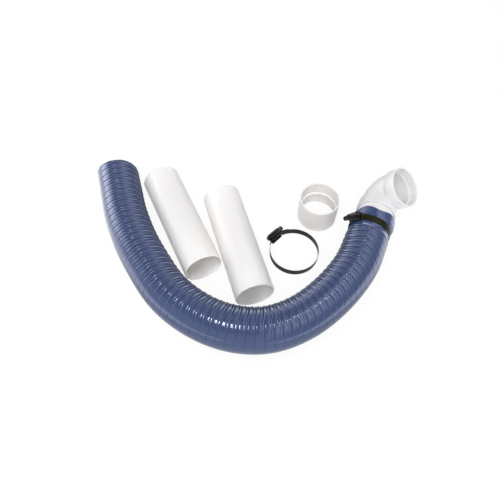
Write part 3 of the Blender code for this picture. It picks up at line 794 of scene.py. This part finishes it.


# ---- All pieces ----------------------------------------------------------------------------------
# The last colour given to the vinyl is painted shade for its grooves.
vinyl = finish("hose_vinyl_look", (0.037, 0.057, 0.136), (0.046, 0.069, 0.156), roughness=0.15,
               spread=0.03, scale=14, bump=0.02, specular=0.9, shine=(0.70, 0.76, 1.0),
               groove_shade=(0.008, 0.012, 0.040))
white = finish("white_pvc_look", (0.92, 0.89, 0.85), (0.95, 0.92, 0.88), roughness=0.36,
               spread=0.05, scale=9, bump=0.05, inside=0.7)
fitting = finish("fitting_pvc_look", (0.71, 0.70, 0.71), (0.75, 0.74, 0.75), roughness=0.34,
                 spread=0.05, scale=12, bump=0.05, inside=0.6)
grey = finish("coupling_pvc_look", (0.78, 0.75, 0.73), (0.82, 0.79, 0.77), roughness=0.38,
              spread=0.05, scale=12, bump=0.06)
band = finish("band_steel_look", (0.010, 0.0095, 0.004), (0.018, 0.017, 0.007), roughness=0.32,
              spread=0.08, scale=40, bump=0.10, specular=0.14)
housing = finish("housing_steel_look", (0.005, 0.005, 0.005), (0.010, 0.010, 0.009),
                 roughness=0.24, spread=0.06, scale=60, bump=0.12, specular=0.30)
screw = finish("screw_steel_look", (0.03, 0.03, 0.027), (0.06, 0.06, 0.055), roughness=0.24,
               spread=0.06, scale=60, bump=0.10, metallic=0.9)

make_hose(vinyl)
make_stub(white)
make_elbow(fitting)
make_pipe("pipe_a_tube", PIPE_A_NEAR, PIPE_A_HEADING, white, "pipe_a")
make_pipe("pipe_b_tube", PIPE_B_NEAR, PIPE_B_HEADING, white, "pipe_b")
make_coupling(grey)

end, along, side = cut_end()
outward = side * math.cos(FITTED_TURN) + np.array([0, 0, math.sin(FITTED_TURN)])
make_clamp("hose_clamp", FITTED_RADIUS, FITTED_TAIL,
           (end - along * CLAMP_FROM_END, outward, -along),
           (band, housing, screw), ("hose", "hose_clamp_screw"))
make_clamp("loose_clamp", LOOSE_RADIUS, LOOSE_TAIL,
           ((*LOOSE_PLACE, HOUSING_HALF), (*heading_vector(LOOSE_TURN), 0.0), (0, 0, -1)),
           (band, housing, screw), ("loose_clamp", "loose_clamp_screw"))


# ---- Floor, light and world ----------------------------------------------------------------------
FLOOR_COLOUR, FLOOR_ROUGHNESS = (0.92, 0.92, 0.92), 0.9
FLOOR_WHITE = 0.90              # share of plain white in the floor that is seen
FLOOR_SIZE, FLOOR_DROP = 4.0, 0.0004
FLOOR_NEAR, FLOOR_SIDES = 0.75, 2.2          # how bright gloss shows it near, and to left and right
SIDES_FROM, SIDES_FULL = 0.31, 0.40          # distances from the middle where the sides start
SIDES_STRETCH = (1.0, 0.05, 0.0)             # weights of that distance: they run far front and back
SIDES_SHIFT = (0.0, -0.07, 0.0)

# Strengths of the world. Below each, by axis, is the range of a direction's component over which
# it fades.
SKY_LEFT, SKY_RIGHT, SKY_FRONT = 0.64, 0.44, 3.8     # what lights the object
FRONT_DIRECTION, FRONT_FADE = (0.0, -0.57, 0.82), (0.84, 1.0)
LEFT_PANEL = 4.5                # what its gloss shows: a low panel on the left, towards the back
LEFT_X, LEFT_Y, LEFT_Z = (-0.78, -0.55), (0.02, 0.30), (0.25, 0.60)
RIGHT_PANEL = 1.6               # a high one on the right
RIGHT_X, RIGHT_Z = (0.10, 0.35), (0.45, 0.80)
BACK_PANEL = 2.2                # a low one at the back
BACK_Y, BACK_Z = (0.75, 0.97), (0.25, 0.55)
ROUND, OVERHEAD = 0.70, 0.04    # a ring round the horizon under a dark top, fainter on the right
ROUND_Z, ROUND_X, ROUND_RIGHT = (0.50, 0.80), (0.2, 0.7), 0.5
SPOT = 22.0                     # and one small spot, which the ribs show as dots
SPOT_DIRECTION, SPOT_FADE = (-0.191, -0.223, 0.956), (0.9974, 0.9990)

LAMPS = (                       # name, place, side and power
    ("overhead", (-0.30, -0.35, 1.50), 0.085, 4.0),
    ("overhead_low", (-0.22, -0.62, 1.40), 0.08, 0.8),
    ("overhead_right", (0.70, 0.10, 1.50), 0.12, 0.8),
)


def ray_mix(nodes, links):
    """1 for rays that show the background: camera, glossy and transmission rays."""
    path = nodes.new("ShaderNodeLightPath")
    first = nodes.new("ShaderNodeMath")
    first.operation = "MAXIMUM"
    second = nodes.new("ShaderNodeMath")
    second.operation = "MAXIMUM"
    links.new(path.outputs["Is Camera Ray"], first.inputs[0])
    links.new(path.outputs["Is Glossy Ray"], first.inputs[1])
    links.new(first.outputs[0], second.inputs[0])
    links.new(path.outputs["Is Transmission Ray"], second.inputs[1])
    return second.outputs[0]


def make_floor():
    material = bpy.data.materials.new("floor_look")
    material.use_nodes = True
    nodes, links = material.node_tree.nodes, material.node_tree.links
    shader = nodes["Principled BSDF"]
    shader.inputs["Base Color"].default_value = (*FLOOR_COLOUR, 1)
    shader.inputs["Roughness"].default_value = FLOOR_ROUGHNESS
    shader.inputs["Specular IOR Level"].default_value = 0.0
    glow = nodes.new("ShaderNodeEmission")
    geometry = nodes.new("ShaderNodeNewGeometry")
    oval = nodes.new("ShaderNodeVectorMath")
    oval.operation = "MULTIPLY_ADD"
    oval.inputs[1].default_value = SIDES_STRETCH
    oval.inputs[2].default_value = SIDES_SHIFT
    links.new(geometry.outputs["Position"], oval.inputs[0])
    away = nodes.new("ShaderNodeVectorMath")
    away.operation = "LENGTH"
    links.new(oval.outputs["Vector"], away.inputs[0])
    bright = nodes.new("ShaderNodeMapRange")
    bright.inputs["From Min"].default_value = SIDES_FROM
    bright.inputs["From Max"].default_value = SIDES_FULL
    bright.inputs["To Min"].default_value = FLOOR_NEAR - 1.0
    bright.inputs["To Max"].default_value = FLOOR_SIDES - 1.0
    links.new(away.outputs["Value"], bright.inputs["Value"])
    path = nodes.new("ShaderNodeLightPath")
    mirrored = nodes.new("ShaderNodeMath")
    mirrored.operation = "MULTIPLY_ADD"
    mirrored.inputs[2].default_value = 1.0
    links.new(bright.outputs["Result"], mirrored.inputs[0])
    links.new(path.outputs["Is Glossy Ray"], mirrored.inputs[1])
    links.new(mirrored.outputs[0], glow.inputs["Strength"])
    share = nodes.new("ShaderNodeMath")
    share.operation = "MULTIPLY"
    share.inputs[1].default_value = FLOOR_WHITE
    links.new(ray_mix(nodes, links), share.inputs[0])
    mix = nodes.new("ShaderNodeMixShader")
    links.new(share.outputs[0], mix.inputs["Fac"])
    links.new(shader.outputs[0], mix.inputs[1])
    links.new(glow.outputs[0], mix.inputs[2])
    links.new(mix.outputs[0], nodes["Material Output"].inputs["Surface"])
    mesh = bpy.data.meshes.new("floor")
    corners = [(-1, -1), (1, -1), (1, 1), (-1, 1)]
    mesh.from_pydata([(x * FLOOR_SIZE, y * FLOOR_SIZE, 0) for x, y in corners], [], [(0, 1, 2, 3)])
    mesh.materials.append(material)
    floor = bpy.data.objects.new("floor", mesh)
    floor.location.z = -FLOOR_DROP
    bpy.context.scene.collection.objects.link(floor)


def make_world():
    """White to the camera, a soft sky that is brightest in front to the object's matt surfaces,
    and a studio with panels to its gloss."""
    world = bpy.data.worlds.new("studio")
    bpy.context.scene.world = world
    world.use_nodes = True
    nodes, links = world.node_tree.nodes, world.node_tree.links
    where = nodes.new("ShaderNodeTexCoord")
    parts = nodes.new("ShaderNodeSeparateXYZ")
    links.new(where.outputs["Generated"], parts.inputs[0])

    def rise(value, low, high, at_low, at_high):
        """A soft step of a value from one strength to another."""
        step = nodes.new("ShaderNodeMapRange")
        step.interpolation_type = "SMOOTHSTEP"
        step.inputs["From Min"].default_value = low
        step.inputs["From Max"].default_value = high
        step.inputs["To Min"].default_value = at_low
        step.inputs["To Max"].default_value = at_high
        links.new(value, step.inputs["Value"])
        return step.outputs["Result"]

    def ramp(axis, *limits):
        """A soft step along one axis of the direction."""
        return rise(parts.outputs[axis], *limits)

    def joined(operation, first, second):
        node = nodes.new("ShaderNodeMath")
        node.operation = operation
        links.new(first, node.inputs[0])
        links.new(second, node.inputs[1])
        return node.outputs[0]

    def background(strength=None):
        node = nodes.new("ShaderNodeBackground")
        node.inputs["Color"].default_value = (1, 1, 1, 1)
        node.inputs["Strength"].default_value = 1.0
        if strength:
            links.new(strength, node.inputs["Strength"])
        return node.outputs[0]

    def either(factor, first, second):
        node = nodes.new("ShaderNodeMixShader")
        links.new(factor, node.inputs["Fac"])
        links.new(first, node.inputs[1])
        links.new(second, node.inputs[2])
        return node.outputs[0]

    def towards(direction, *limits):
        """A soft spot round a direction, by the cosine of the angle to it."""
        dot = nodes.new("ShaderNodeVectorMath")
        dot.operation = "DOT_PRODUCT"
        dot.inputs[1].default_value = direction
        links.new(where.outputs["Generated"], dot.inputs[0])
        return rise(dot.outputs["Value"], *limits)

    light = joined("ADD", ramp("X", -1.0, 1.0, SKY_LEFT, SKY_RIGHT),
                   towards(FRONT_DIRECTION, *FRONT_FADE, 0.0, SKY_FRONT))
    left = joined("MULTIPLY", ramp("X", *LEFT_X, LEFT_PANEL, 0.0), ramp("Y", *LEFT_Y, 0.0, 1.0))
    left = joined("MULTIPLY", left, ramp("Z", *LEFT_Z, 1.0, 0.0))
    right = joined("MULTIPLY", ramp("X", *RIGHT_X, 0.0, RIGHT_PANEL), ramp("Z", *RIGHT_Z, 0.0, 1.0))
    back = joined("MULTIPLY", ramp("Y", *BACK_Y, 0.0, BACK_PANEL), ramp("Z", *BACK_Z, 1.0, 0.0))
    around = joined("MULTIPLY", ramp("Z", *ROUND_Z, ROUND, OVERHEAD),
                    ramp("X", *ROUND_X, 1.0, ROUND_RIGHT))
    spot = towards(SPOT_DIRECTION, *SPOT_FADE, 0.0, SPOT)
    gloss = joined("ADD", joined("ADD", left, right), joined("ADD", back, around))
    gloss = joined("ADD", gloss, spot)
    path = nodes.new("ShaderNodeLightPath")
    lit = either(path.outputs["Is Glossy Ray"], background(light), background(gloss))
    seen = either(path.outputs["Is Camera Ray"], lit, background())
    links.new(seen, nodes["World Output"].inputs["Surface"])


def make_lamp(name, place, size, power):
    data = bpy.data.lights.new(name, "AREA")
    data.shape = "SQUARE"
    data.size = size
    data.energy = power
    obj = bpy.data.objects.new(name, data)
    bpy.context.scene.collection.objects.link(obj)
    obj.location = place
    obj.rotation_mode = "QUATERNION"
    obj.rotation_quaternion = (-Vector(place)).to_track_quat("-Z", "Y")


make_floor()
make_world()
for lamp in LAMPS:
    make_lamp(*lamp)
